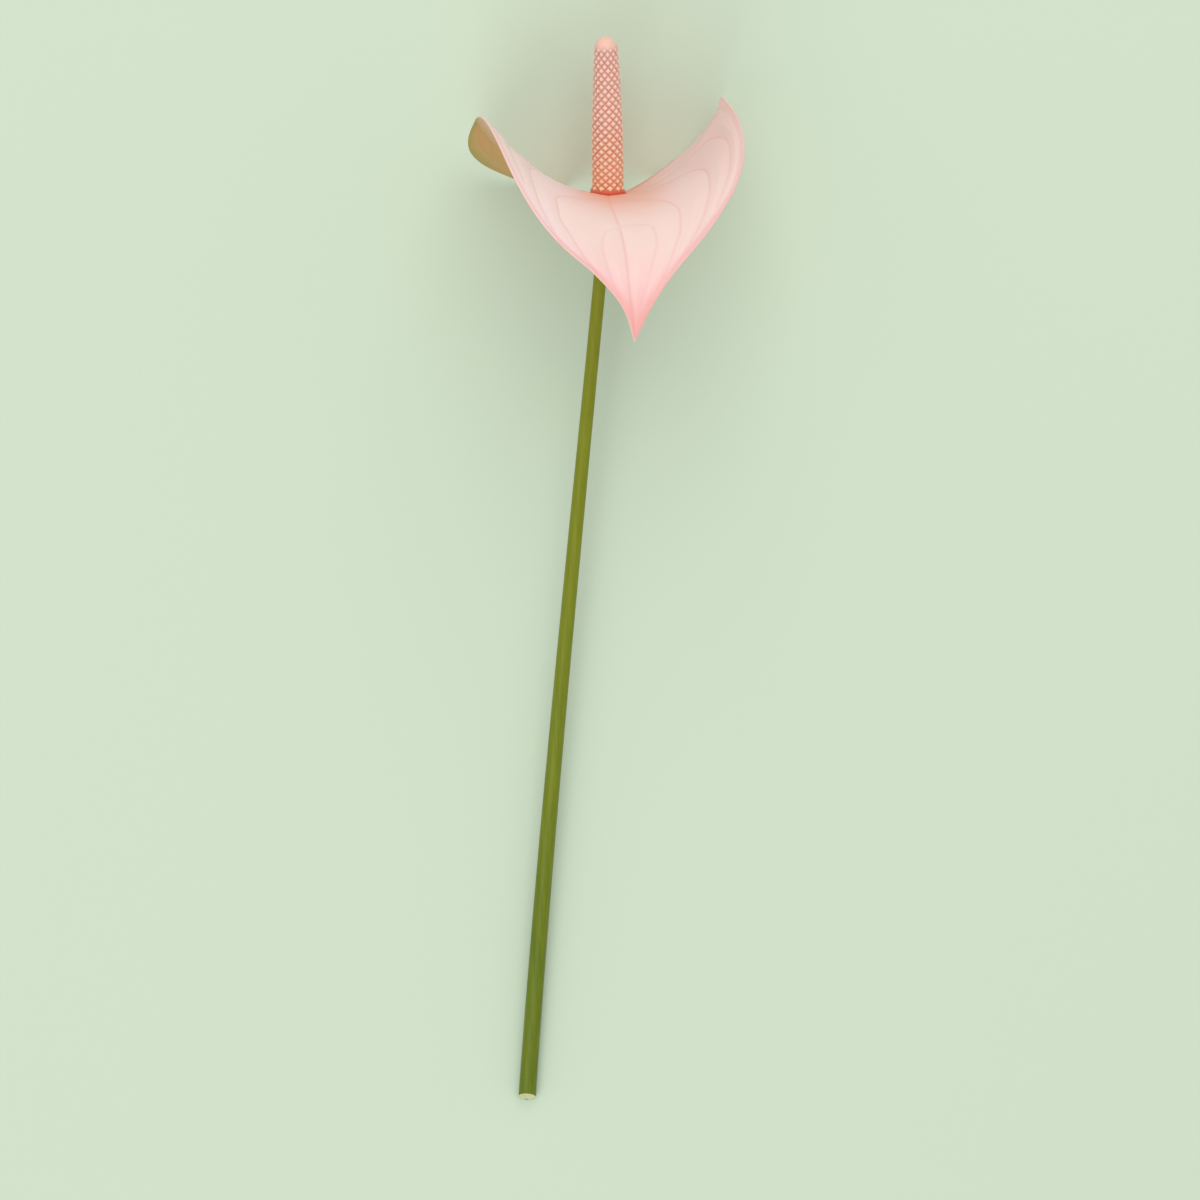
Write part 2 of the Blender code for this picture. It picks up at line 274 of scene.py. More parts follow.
# Bend of the left and the right lobe, in degrees: its rise away from the midrib, how that changes
# ahead of the attachment and behind it, and its slope along the midrib.
RISE = (2.41 / MM, 2.12 / MM)
RISE_GROWTH = (-0.024 / MM**2, 0.006 / MM**2)
RISE_AHEAD = (0.38, -0.22)
RISE_AHEAD_GROWTH = -1.08
RISE_BEHIND = (2.29, 1.17)
DROOP = -0.12 / MM
DROOP_GROWTH = 0.031 / MM**2
REAR_BEND = (-1.72 / MM, 1.00 / MM)
REAR_CURL = (0.141 / MM**2, -0.267 / MM**2)
SWELL = (-4.7 * MM, 25.9 * MM)                       # of a lobe's flank, off the face
SWELL_RAY = (87, 114)                                # at these degrees from the midrib
SWELL_WIDTH = 26                                     # degrees
STEPS = (np.arange(24) + 0.5) / 24                   # places at which a slope is summed

# Main veins, each as its strength and a few places on the flat blade, in mm across and along it:
# the midrib, then the loops of the left lobe and of the right one.
VEINS = (
    (1.0, (0, 2), (-1.6, 13), (-2.3, 25), (-1.5, 38), (-0.9, 49), (0, 60)),
    (0.4, (-2, 34), (-5.2, 36.5), (-6, 41), (-4.6, 47), (-2, 54)),
    (0.75, (-2, 17), (-9.4, 22.3), (-15.4, 29.5), (-15.2, 34.4), (-12.6, 39.5), (-6, 49),
     (-1.6, 56.5)),
    (0.7, (0, 0), (-9, 6), (-17.5, 14), (-21.5, 24), (-20.5, 32), (-14, 43), (-6.5, 51)),
    (0.65, (0, 0), (-10, 0), (-20, 3), (-26, 11), (-27, 21), (-24, 30)),
    (0.55, (0, 0), (-7, -3.5), (-17, -7), (-25, -5.5), (-30.5, 4)),
    (0.4, (0, 0), (-4, -5.5), (-9, -10), (-15, -12.5), (-20, -11)),
    (0.5, (-1.7, 33), (2.6, 32.8), (5.2, 34.2), (5.5, 38.4), (4.2, 43.5), (1.4, 53)),
    (0.8, (-2, 15.5), (2.4, 17.3), (6.8, 20.3), (9.9, 25.1), (11.2, 29.5), (10.8, 34.8),
     (8.6, 41.5), (3, 53)),
    (0.85, (0, 0), (7, 3.2), (13.8, 6.8), (18, 11), (19.8, 17.9), (19.1, 24), (16, 33), (8, 46)),
    (0.7, (0, 0), (12, -1.2), (22.5, 1.3), (26.1, 6.9), (27.3, 13.5), (25, 22), (19, 32)),
    (0.5, (0, 0), (7, -3.5), (16, -6.5), (24, -5), (29.5, 2)),
    (0.4, (0, 0), (4, -5.5), (9, -10), (14, -12), (19, -11)),
)
VEIN_TAPER = 0.55                                    # part of its strength that a vein loses
LOOP_START = 0.75                                    # part that a loop lacks where it starts
COLLECTING_VEIN = 0.87                               # runs along the margin, this far out
COLLECTING_START = 0.12                              # as shares of the blade's length
COLLECTING_RUN = 0.85
COLLECTING_STRENGTH = 0.35
VEIN_SAMPLES = 70
VEIN_BLOCKS = 12                                     # the blade's points are taken in so many lots
VEIN_WIDTH = 0.5 * MM
VEIN_DEPTH = 0.1 * MM
VEIN_HALO = 2.5                                      # width of the pinker strip round it, in widths
VEIN_FADE = 1.5 * MM                                 # from the margin
PUCKER = 0.22 * MM                                   # rise of the blade between its veins
PUCKER_WIDTH = 2.2 * MM
PUCKER_MARGIN = 4 * MM                               # it fades towards the margin
PUCKER_START = 0.125                                 # and the attachment, as a share
BLADE_MAP = 10                                       # the blade's UV map has 100 mm to a unit
NOWHERE = 1.0                                        # a metre: no vein found yet


def bend_blade(across, along):
    """Points (across, off the face, along) of the bent blade, for places on the flat one."""
    across, along = np.asarray(across)[..., None], np.asarray(along)[..., None]
    left = across < 0

    def lobe(pair):
        return np.where(left, *pair)

    reach = abs(across) * STEPS
    run = along / SPATHE_LENGTH
    ahead = lobe(RISE_AHEAD) + RISE_AHEAD_GROWTH * run
    change = np.where(along < 0, lobe(RISE_BEHIND), ahead) * run
    rise = np.radians((lobe(RISE) * reach + lobe(RISE_GROWTH) * reach**2) * (1 + change))
    lift = np.sin(rise).mean(-1) * abs(across[..., 0])

    def droop(run):
        behind = lobe(REAR_BEND) * run - lobe(REAR_CURL) * run**2
        return np.radians(np.where(along < 0, behind, DROOP * run + DROOP_GROWTH * run**2))

    slope = droop(along * STEPS)
    end_slope = droop(along)[..., 0]
    ray = np.degrees(np.arctan2(abs(across), along))
    out = np.hypot(across, along) / SPATHE_LENGTH
    swell = lobe(SWELL) * out**2 * np.exp(-((ray - lobe(SWELL_RAY)) / SWELL_WIDTH)**2)
    return np.stack([
        np.cos(rise).mean(-1) * across[..., 0],
        lift * np.cos(end_slope) - np.sin(slope).mean(-1) * along[..., 0] + swell[..., 0],
        lift * np.sin(end_slope) + np.cos(slope).mean(-1) * along[..., 0]], axis=-1)


def blade_normal(across, along, step=0.05 * MM):
    """Unit normals of the bent blade, out of its upper face."""
    over = bend_blade(across + step, along) - bend_blade(across - step, along)
    ahead = bend_blade(across, along + step) - bend_blade(across, along - step)
    normal = np.cross(ahead, over)
    return normal / np.linalg.norm(normal, axis=-1, keepdims=True)


def flat_place(share, side):
    """Place on the flat blade: a share of its length, and a side from -1 to 1 across it."""
    left, right = (smooth(knots, share) for knots in HALF_ANGLE)
    ray = np.radians(np.where(side < 0, left, right)) * side
    return SPATHE_LENGTH * share * np.sin(ray), SPATHE_LENGTH * share * np.cos(ray)


def store(piece, fields, kind="FLOAT", slot="value"):
    """Keep a value for each point of a piece, under each field's name."""
    for name, values in fields.items():
        layer = piece.data.attributes.new(name, kind, "POINT")
        layer.data.foreach_set(slot, np.ravel(values))


# Rows are arcs round the attachment, half spaced by length along the margin. The last few columns
# at each margin keep their distance from it, to round it off.
fine = np.linspace(0, 1, MARGIN_SAMPLES)
margins = [bend_blade(*flat_place(fine, hand)) for hand in (-1, 1)]
legs = sum(np.linalg.norm(np.diff(margin, axis=0), axis=1) for margin in margins)
run = np.concatenate([[0], legs.cumsum()])
rows = np.interp(np.linspace(0, 1, SPATHE_ROWS + 1), (run / run[-1] + fine) / 2, fine)
halves = []
for knots in HALF_ANGLE:
    width = SPATHE_LENGTH * rows * np.radians(smooth(knots, rows))
    rim = [1 - np.minimum(gap / np.maximum(width, 1e-9), most) for gap, most in RIM_PLACES]
    inner = np.linspace(1, 0, SPATHE_COLUMNS // 2 - len(RIM_PLACES) + 2)[1:]
    inner = inner[None, :] * (rim[-1] - RIM_STEP)[:, None]
    sides = np.concatenate([np.stack(rim, 1), inner], 1)
    halves.append((sides, (1 - sides) * width[:, None]))
side = np.concatenate([-halves[0][0], halves[1][0][:, -2::-1]], 1)
from_margin = np.concatenate([halves[0][1], halves[1][1][:, -2::-1]], 1)
columns = side.shape[1] - 1
rows = np.repeat(rows[:, None], columns + 1, axis=1)
across, along = flat_place(rows, side)
from_margin = np.minimum(from_margin, (1 - rows) * SPATHE_LENGTH)

# Distance of every place from its nearest vein, signed by the side it is on, and that vein's
# strength there.
t = np.linspace(0, 1, VEIN_SAMPLES)
curves = []
for strength, *places in VEINS:
    stops = np.linspace(0, 1, len(places))
    path = [smooth(list(zip(stops, axis)), t) for axis in np.array(places, float).T]
    hidden = 0 if places[-1][0] == 0 else LOOP_START * np.clip(1 - 3 * t, 0, 1)
    curves.append((np.stack(path, 1) * MM, strength * (1 - VEIN_TAPER * t) * (1 - hidden)))
for hand in (-1, 1):
    path = flat_place(COLLECTING_START + COLLECTING_RUN * t, hand * COLLECTING_VEIN)
    curves.append((np.stack(path, 1), COLLECTING_STRENGTH * np.sin(math.pi * t)**0.5))
flat = np.stack([across.ravel(), along.ravel()], 1)
vein_offset = np.full(len(flat), NOWHERE)
vein_strength = np.zeros(len(flat))
for path, fall in curves:
    start, leg = path[:-1], np.diff(path, axis=0)
    for block in np.array_split(np.arange(len(flat)), VEIN_BLOCKS):
        gap = flat[block, None, :] - start[None]
        t_leg = np.clip((gap * leg).sum(-1) / (leg**2).sum(-1), 0, 1)
        gap -= t_leg[..., None] * leg
        distance = np.linalg.norm(gap, axis=-1)
        best = distance.argmin(1)
        each = np.arange(len(block))
        near, gap = distance[each, best], gap[each, best]
        turn = leg[best, 0] * gap[:, 1] - leg[best, 1] * gap[:, 0]
        closer = near < abs(vein_offset[block])
        signed = np.where(turn < 0, -near, near)
        vein_offset[block] = np.where(closer, signed, vein_offset[block])
        vein_strength[block] = np.where(closer, fall[best], vein_strength[block])
nearness = np.exp(-(vein_offset / (VEIN_HALO * VEIN_WIDTH))**2) * vein_strength
groove = np.exp(-(vein_offset / VEIN_WIDTH)**2) * vein_strength
pucker = (1 - np.exp(-(vein_offset / PUCKER_WIDTH)**2)) * PUCKER
pucker *= np.clip(from_margin.ravel() / PUCKER_MARGIN, 0, 1)
pucker *= np.clip(rows.ravel() / PUCKER_START, 0, 1)
groove, pucker = groove.reshape(rows.shape), pucker.reshape(rows.shape)

middle, normal = bend_blade(across, along), blade_normal(across, along)
middle = middle + normal * pucker[..., None]
thinned = np.clip(from_margin / THINNING, 0, 1)**THINNING_CURVE
thick = MARGIN_SHEET + (SHEET - MARGIN_SHEET) * thinned
round_off = np.minimum(from_margin / MARGIN_ROUND, 1)
thick *= np.sqrt(1 - (1 - round_off)**2)
fade = np.clip(from_margin / VEIN_FADE, 0, 1)
upper = place_blade(middle + normal * (thick / 2 - VEIN_DEPTH * groove * fade)[..., None])
lower = place_blade(middle - normal * (thick / 2 - VEIN_DEPTH * (1 - groove) * fade)[..., None])

# The two sheets share the points of the margin, and each end row is a single point.
points, number, source = [], {}, []
for sheet, grid in enumerate((upper, lower)):
    for row in range(SPATHE_ROWS + 1):
        pole = row in (0, SPATHE_ROWS)
        for column in range(columns + 1):
            if sheet == 1 and (column in (0, columns) or pole):
                number[sheet, row, column] = number[0, row, column]
                continue
            if not pole or column == 0:
                taken = columns // 2 if pole else column
                points.append(grid[row, taken])
                source.append(row * (columns + 1) + taken)
            number[sheet, row, column] = len(points) - 1
faces, back = [], []
for row in range(SPATHE_ROWS):
    for column in range(columns):
        corners = ((row, column), (row + 1, column), (row + 1, column + 1), (row, column + 1))
        for sheet in (0, 1):
            quad = [number[(sheet, *corner)] for corner in corners]
            quad = [n for i, n in enumerate(quad) if n != quad[i - 1]]
            if len(quad) > 2:
                faces.append(tuple(quad if sheet == 0 else quad[::-1]))
                back.append(sheet)
points = np.array(points)
points[:, 2] = np.maximum(points[:, 2], 0)

# Spathe face: satin wax on soft pink flesh, in which a net of fine cells 2.4 mm across shows. The
# left lobe is cooler and is also painted paler as painted light, the front creamier, and a deeper
# pink lies in the veins, along the front margin, towards the tip and round the spadix. The margin
# itself is thin and pale.
spathe_face, tree, shader = new_material("waxy_pink_spathe")
flat_map = add_node(tree, "ShaderNodeUVMap", uv_map="blade").outputs[0]
shares, offset, nearby, edge = (
    add_node(tree, "ShaderNodeAttribute", attribute_name=name).outputs["Fac"]
    for name in ("share", "vein_offset", "vein_nearness", "from_margin"))
blotch = add_node(tree, "ShaderNodeTexNoise",
                  {"Vector": flat_map, "Scale": 9, "Detail": 3}).outputs[0]
net = add_node(tree, "ShaderNodeTexVoronoi", {"Vector": flat_map, "Scale": 42},
               feature="DISTANCE_TO_EDGE").outputs["Distance"]
sideways = add_node(tree, "ShaderNodeSeparateXYZ", {0: flat_map}).outputs["X"]
off_middle, off_vein = (
    add_node(tree, "ShaderNodeMath", {0: measure}, operation="ABSOLUTE").outputs[0]
    for measure in (sideways, offset))
cover = {}
for name, measure, start, end, most, ease in (
        ("left_lobe", sideways, -0.05, -0.2, 0.75, "SMOOTHSTEP"),
        ("front", shares, 0.3, 0.62, 1, "SMOOTHSTEP"),
        ("inside", edge, 2, 8, 0.5, "SMOOTHSTEP"),
        ("band", edge, 3.5, 0.4, 0.6, "SMOOTHSTEP"),
        ("tip", shares, 0.64, 1, 0.65, "SMOOTHSTEP"),
        ("vein", off_vein, 0.5, 0.05, 1, "SMOOTHSTEP"),
        ("blush", shares, 0.6, 0.2, 0.85, "SMOOTHSTEP"),
        ("middle", off_middle, 0.16, 0.03, 1, "SMOOTHSTEP"),
        ("cleft", shares, 0.42, 0.2, 1, "SMOOTHSTEP"),
        ("lip", edge, 3.2, 0.3, 0.8, "SMOOTHSTEP"),
        ("foot", shares, 0.078, 0.06, 1, "SMOOTHSTEP"),
        ("rim", edge, 0.28, 0.05, 0.4, "LINEAR"),
        ("point", shares, 0.988, 0.997, 1, "LINEAR"),
        ("net", net, 0, 0.12, 1, "LINEAR")):
    cover[name] = add_node(tree, "ShaderNodeMapRange",
                           {"Value": measure, "From Min": start, "From Max": end, "To Max": most},
                           interpolation_type=ease).outputs[0]
line = add_node(tree, "ShaderNodeMath", {0: cover["vein"], 1: nearby},
                operation="MULTIPLY").outputs[0]
# The left lobe's tint is partly its own cooler lilac and partly painted light: it is paler to stand
# for the light it catches.
colour = lay_tints(tree, linear("#FBDBDA"), (
    ("#F6CCCC", blotch), ("#FFE2EA", cover["left_lobe"]),
    ("#FADCD2", cover["front"], cover["inside"]), ("#F2ACA6", cover["front"], cover["band"]),
    ("#F0A398", cover["tip"]), ("#E58F88", line, 0.38),
    ("#F3AC97", cover["blush"], cover["middle"]), ("#E58C76", cover["cleft"], cover["lip"]),
    ("#D9664A", cover["foot"]), ("#FBE3DA", cover["rim"]), ("#F6E2C8", cover["point"])))
relief = add_node(tree, "ShaderNodeBump",
                  {"Height": cover["net"], "Strength": 0.1, "Distance": 0.04 * MM}).outputs[0]
relief = add_node(tree, "ShaderNodeBump", {"Height": line, "Strength": 0.5, "Distance": 0.08 * MM,
                                           "Normal": relief}, invert=True).outputs[0]
set_inputs(tree, shader, {
    "Base Color": colour, "Normal": relief, "Roughness": 0.42, "IOR": 1.42,
    "Subsurface Weight": 0.25, "Subsurface Radius": (1.0, 0.45, 0.35),
    "Subsurface Scale": 1.2 * MM, "Coat Weight": 0.15, "Coat Roughness": 0.25})

# Spathe back: duller, tan-pink, olive towards the lobes, with the veins standing out a little.
spathe_back, tree, shader = new_material("matt_spathe_back")
flat_map = add_node(tree, "ShaderNodeUVMap", uv_map="blade").outputs[0]
offset, nearby, edge = (
    add_node(tree, "ShaderNodeAttribute", attribute_name=name).outputs["Fac"]
    for name in ("vein_offset", "vein_nearness", "from_margin"))
rear = add_node(tree, "ShaderNodeSeparateXYZ", {0: flat_map}).outputs["Y"]
blotch = add_node(tree, "ShaderNodeTexNoise",
                  {"Vector": flat_map, "Scale": 7, "Detail": 3}).outputs[0]
off_vein = add_node(tree, "ShaderNodeMath", {0: offset}, operation="ABSOLUTE").outputs[0]
cover = {}
for name, measure, start, end, most, ease in (
        ("lobes", rear, 0.22, -0.06, 0.9, "SMOOTHSTEP"),
        ("outer", edge, 7, 0.5, 1, "LINEAR"),
        ("patch", blotch, 0.3, 0.65, 1, "LINEAR"),
        ("vein", off_vein, 0.6, 0.05, 1, "SMOOTHSTEP"),
        ("rim", edge, 0.35, 0.08, 0.6, "LINEAR")):
    cover[name] = add_node(tree, "ShaderNodeMapRange",
                           {"Value": measure, "From Min": start, "From Max": end, "To Max": most},
                           interpolation_type=ease).outputs[0]
patch = add_node(tree, "ShaderNodeMath", {0: cover["patch"], 1: cover["outer"], 2: 0.15},
                 operation="MULTIPLY_ADD").outputs[0]
patch = add_node(tree, "ShaderNodeMath", {0: patch, 1: cover["lobes"]}, operation="MULTIPLY",
                 use_clamp=True).outputs[0]
line = add_node(tree, "ShaderNodeMath", {0: cover["vein"], 1: nearby},
                operation="MULTIPLY").outputs[0]
colour = lay_tints(tree, linear("#E9BDA9"), (
    ("#DCA992", blotch), ("#C29350", cover["lobes"]), ("#9A9648", patch), ("#A87F55", line, 0.5),
    ("#F6D8CC", cover["rim"])))
relief = add_node(tree, "ShaderNodeBump",
                  {"Height": line, "Strength": 0.5, "Distance": 0.1 * MM}).outputs[0]
set_inputs(tree, shader, {
    "Base Color": colour, "Normal": relief, "Roughness": 0.5, "IOR": 1.42,
    "Subsurface Weight": 0.2, "Subsurface Radius": (1.0, 0.5, 0.3), "Subsurface Scale": 1.0 * MM})

spathe = new_piece("heart_spathe", points, faces, [spathe_face, spathe_back], back)
store(spathe, {"share": rows.ravel()[source], "vein_offset": (vein_offset / MM)[source],
               "vein_nearness": nearness[source],
               "from_margin": (from_margin.ravel() / MM)[source]})
corner = np.empty(len(spathe.data.loops), int)
spathe.data.loops.foreach_get("vertex_index", corner)
uv = spathe.data.uv_layers.new(name="blade")
uv.data.foreach_set("uv", (flat[source][corner] * BLADE_MAP).ravel())
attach(spathe, "root")
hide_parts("spathe")


# Spadix. The real one is a fleshy spike packed with tiny flowers in crossing spirals. Each has four
# tepals that close round a pale, moist stigma; the last few at the top have not formed, so it ends
# in a smooth blunt dome.
SPADIX_AXIS = np.array([-0.004, 0.996, 0.087])
SPADIX_LENGTH = 34.4 * MM
SPADIX_BEND = -0.35 * MM
SPADIX_RADIUS = ((0, 3.28 * MM), (0.4, 3.2 * MM), (0.7, 2.85 * MM),
                 (0.94, 2.4 * MM))                   # at a share of the length
SPADIX_DOME = 2.5 * MM
BASE_FADE = 9 * MM                                   # past this its rings stand square to the axis
SPADIX_SINK = 0.25 * MM                              # of its foot above the spathe's middle
COLLAR_RISE = 0.85 * MM                              # a smooth coral ring round the foot
COLLAR_HEIGHT = 1.5 * MM
FLORETS_AROUND = 11
FLORET_ROWS = 37
FIRST_ROW = 2                                        # the ring takes the place of the lower ones
FLORET_RELIEF = 0.28 * MM
CORE_SIDES = 64
CORE_RINGS = 90
COLLAR_RINGS = 14
DOME_RINGS = 14
DOME_ARC = (0.08, 1.5)                               # first and last of them, radians
TOP_LIFT = 0.75                                      # height of the smooth top in the relief
TOP_BLEND = 1.5                                      # rows over which the smooth top sets in

axis = SPADIX_AXIS / np.linalg.norm(SPADIX_AXIS)
sideways = np.cross(axis, [0, 0, 1])
sideways /= np.linalg.norm(sideways)
down = np.cross(axis, sideways)
lattice_top = SPADIX_LENGTH - SPADIX_DOME
pitch = lattice_top / FLORET_ROWS


def spike(angle, height, raised=0.0):
    """A point on the spike, raised above its grooves."""
    radius = smooth(SPADIX_RADIUS, height / SPADIX_LENGTH) - FLORET_RELIEF + raised
    radius += COLLAR_RISE * math.exp(-(height / COLLAR_HEIGHT)**4)
    if height > lattice_top:
        radius *= math.sqrt(max(0, 1 - ((height - lattice_top) / SPADIX_DOME)**2))
    radial = radius * (math.cos(angle) * sideways + math.sin(angle) * down)
    slide = slide_to_face(radial, axis, SPADIX_SINK) * max(0, 1 - height / BASE_FADE)
    bow = SPADIX_BEND * (height / SPADIX_LENGTH)**2 * sideways
    return ATTACHMENT + radial + bow + (height + slide) * axis


points, faces, tops, collar = [], [], [], []
turns = 2 * math.pi * np.arange(CORE_SIDES) / CORE_SIDES
levels = np.concatenate([
    np.linspace(0, 2 * COLLAR_HEIGHT, COLLAR_RINGS),
    np.linspace(2 * COLLAR_HEIGHT, lattice_top, CORE_RINGS)[1:],
    lattice_top + SPADIX_DOME * np.sin(np.linspace(*DOME_ARC, DOME_RINGS))])
for height in levels:
    top = min(1, max(0, (height - lattice_top + pitch) / (TOP_BLEND * pitch)))
    for angle in turns:
        points.append(spike(angle, height, TOP_LIFT * FLORET_RELIEF * top))
        tops.append(top)
        collar.append(math.exp(-(height / COLLAR_HEIGHT)**4))
for ring in range(len(levels) - 1):
    faces += join_rings(ring * CORE_SIDES, (ring + 1) * CORE_SIDES, CORE_SIDES)
faces.append(tuple(reversed(range(CORE_SIDES))))
points.append(spike(0, SPADIX_LENGTH))
tops.append(1)
collar.append(0)
faces += close_ring((len(levels) - 1) * CORE_SIDES, len(points) - 1, CORE_SIDES)

# Spadix flesh: coral in the grooves and on the tepals, turning from orange at the foot to a dusty
# pink above, with cream stigmas and a pale peach dome. One skin serves core and florets.
spadix_flesh, tree, shader = new_material("fleshy_spadix")
place = add_node(tree, "ShaderNodeTexCoord").outputs["Object"]
height = add_node(tree, "ShaderNodeSeparateXYZ", {0: place}).outputs["Y"]
up_share = add_node(tree, "ShaderNodeMapRange",
                    {"Value": height, "From Min": 0.088, "From Max": 0.121}).outputs[0]
crown, stigma, tone, dome, foot_ring = (
    add_node(tree, "ShaderNodeAttribute", attribute_name=name).outputs["Fac"]
    for name in ("crown", "stigma", "tone", "dome", "collar"))
ramps = []
for colours in (("#DA8560", "#E09B88", "#D2968A"), ("#F2A781", "#F2B8A5", "#E8B0A2"),
                ("#FCD9B4", "#FDDDCB", "#F8CFC2")):
    ramp = add_node(tree, "ShaderNodeValToRGB", {0: up_share})
    ramp.color_ramp.elements.new(0.5)
    for element, spot in zip(ramp.color_ramp.elements, colours):
        element.color = linear(spot)
    ramps.append(ramp.outputs[0])
groove_colour, tepal_colour, stigma_colour = ramps
colour = lay_tints(tree, groove_colour, (
    (tepal_colour, crown), ("#F8CDBB", tone, 0.3), (stigma_colour, stigma), ("#F5C4B2", dome),
    ("#D35A3C", foot_ring)))
set_inputs(tree, shader, {
    "Base Color": colour, "Roughness": 0.45, "IOR": 1.4, "Subsurface Weight": 0.2,
    "Subsurface Radius": (1.0, 0.4, 0.25), "Subsurface Scale": 0.5 * MM})

core = new_piece("coral_spadix", points, faces, [spadix_flesh])
none = np.zeros(len(points))
store(core, {"crown": none, "stigma": none, "dome": tops, "tone": none, "collar": collar})

# One floret, its tepals' corners along its own X and Y and its edge sunk in the core. Its rings go
# inwards: share of the cell at the corners and between them, height there in mm, crown, stigma.
FLORET_SIDES = 8
FLORET_RINGS = (
    (1.03, 1.02, -0.2, -0.2, 0, 0),
    (0.95, 0.93, 0.02, -0.04, 0.3, 0),
    (0.8, 0.78, 0.2, 0.14, 0.9, 0),
    (0.64, 0.7, 0.28, 0.24, 1, 0),
    (0.52, 0.62, 0.25, 0.24, 0.9, 0.3),
    (0.42, 0.56, 0.28, 0.28, 0.7, 0.9),
    (0.26, 0.36, 0.37, 0.37, 0.6, 1),
)
FLORET_TIP = (0.43, 0.6, 1)                          # height in mm, crown, stigma
cell = (math.pi / FLORETS_AROUND * SPADIX_RADIUS[0][1], pitch)
points, faces, crowns, stigmas = [], [], [], []
for corner_size, side_size, corner_rise, side_rise, ring_crown, ring_stigma in FLORET_RINGS:
    for k in range(FLORET_SIDES):
        x, y = (turn(2 * math.pi * k / FLORET_SIDES) for turn in (math.cos, math.sin))
        if k % 2 == 0:
            x, y, rise = x * corner_size, y * corner_size, corner_rise
        else:
            x, y = math.copysign(0.5 * side_size, x), math.copysign(0.5 * side_size, y)
            rise = side_rise
        points.append((x * cell[0], y * cell[1], rise * MM))
        crowns.append(ring_crown)
        stigmas.append(ring_stigma)
points.append((0, 0, FLORET_TIP[0] * MM))
crowns.append(FLORET_TIP[1])
stigmas.append(FLORET_TIP[2])
last = FLORET_SIDES * (len(FLORET_RINGS) - 1)
for ring in range(0, last, FLORET_SIDES):
    faces += join_rings(ring, ring + FLORET_SIDES, FLORET_SIDES)
faces += close_ring(last, len(points) - 1, FLORET_SIDES)
faces.append(tuple(reversed(range(FLORET_SIDES))))
floret = new_piece("floret", points, faces, [spadix_flesh])
store(floret, {"crown": crowns, "stigma": stigmas, "dome": np.zeros(len(points))})

# A seat for every floret, with the way out of the spike and up it, and the spike's girth there.
SEAT_TURN = 0.02                                     # steps for the way round and up, radians
SEAT_CLIMB = 0.1 * MM
seat, outward, upward, width = [], [], [], []
for row in range(FIRST_ROW, FLORET_ROWS + 1):
    for k in range(FLORETS_AROUND):
        angle, height = (2 * k + row + 1) * math.pi / FLORETS_AROUND, row * pitch
        over = spike(angle + SEAT_TURN, height) - spike(angle - SEAT_TURN, height)
        ahead = spike(angle, height + SEAT_CLIMB) - spike(angle, height - SEAT_CLIMB)
        normal = np.cross(over, ahead)
        seat.append(spike(angle, height))
        outward.append(normal / np.linalg.norm(normal))
        upward.append(ahead / np.linalg.norm(ahead))
        width.append(smooth(SPADIX_RADIUS, height / SPADIX_LENGTH) / SPADIX_RADIUS[0][1])
seats = new_piece("seats", seat, [], [])
store(seats, {"outward": outward, "upward": upward}, kind="FLOAT_VECTOR", slot="vector")
store(seats, {"width": width})

# Sets a floret on every seat, with a little scatter in its height, turn and tone, and joins the
# core.
lattice_inputs = (
    ("Core", "NodeSocketGeometry", None), ("Seats", "NodeSocketObject", seats),
    ("Floret", "NodeSocketObject", floret), ("Least height", "NodeSocketFloat", 0.85),
    ("Most height", "NodeSocketFloat", 1.12), ("Turn", "NodeSocketFloat", 0.05),
    ("Seed", "NodeSocketInt", 7), ("Flesh", "NodeSocketMaterial", spadix_flesh))
lattice = bpy.data.node_groups.new("floret_lattice", "GeometryNodeTree")
sockets = {}
for name, kind, value in lattice_inputs:
    socket = lattice.interface.new_socket(name, in_out="INPUT", socket_type=kind)
    sockets[name] = socket.identifier
lattice.interface.new_socket("Spadix", in_out="OUTPUT", socket_type="NodeSocketGeometry")
given = add_node(lattice, "NodeGroupInput").outputs
seats_in, floret_in = (
    add_node(lattice, "GeometryNodeObjectInfo", {"Object": given[name]}).outputs["Geometry"]
    for name in ("Seats", "Floret"))
out_axis, up_axis, girth = (
    add_node(lattice, "GeometryNodeInputNamedAttribute", {"Name": name}, data_type=kind).outputs[0]
    for name, kind in (("outward", "FLOAT_VECTOR"), ("upward", "FLOAT_VECTOR"), ("width", "FLOAT")))
facing = add_node(lattice, "FunctionNodeAxesToRotation",
                  {"Primary Axis": out_axis, "Secondary Axis": up_axis},
                  primary_axis="Z", secondary_axis="Y").outputs[0]
least_turn = add_node(lattice, "ShaderNodeMath", {0: given["Turn"], 1: -1.0},
                      operation="MULTIPLY").outputs[0]
tall, twist, shade = (
    add_node(lattice, "FunctionNodeRandomValue", {2: least, 3: most, "Seed": given["Seed"]},
             data_type="FLOAT").outputs[1]
    for least, most in ((given["Least height"], given["Most height"]),
                        (least_turn, given["Turn"]), (0.0, 1.0)))
size = add_node(lattice, "ShaderNodeCombineXYZ", {"X": girth, "Y": 1.0, "Z": tall}).outputs[0]
twist = add_node(lattice, "ShaderNodeCombineXYZ", {"Z": twist}).outputs[0]
planted = add_node(lattice, "GeometryNodeInstanceOnPoints",
                   {"Points": seats_in, "Instance": floret_in, "Rotation": facing,
                    "Scale": size}).outputs[0]
planted = add_node(lattice, "GeometryNodeRotateInstances",
                   {"Instances": planted, "Rotation": twist}).outputs[0]
planted = add_node(lattice, "GeometryNodeStoreNamedAttribute",
                   {"Geometry": planted, "Name": "tone", "Value": shade},
                   data_type="FLOAT", domain="INSTANCE").outputs[0]
real = add_node(lattice, "GeometryNodeRealizeInstances", {0: planted}).outputs[0]
whole = add_node(lattice, "GeometryNodeJoinGeometry")
lattice.links.new(real, whole.inputs[0])
lattice.links.new(given["Core"], whole.inputs[0])
finished = add_node(lattice, "GeometryNodeSetMaterial",
                    {"Geometry": whole.outputs[0], "Material": given["Flesh"]}).outputs[0]
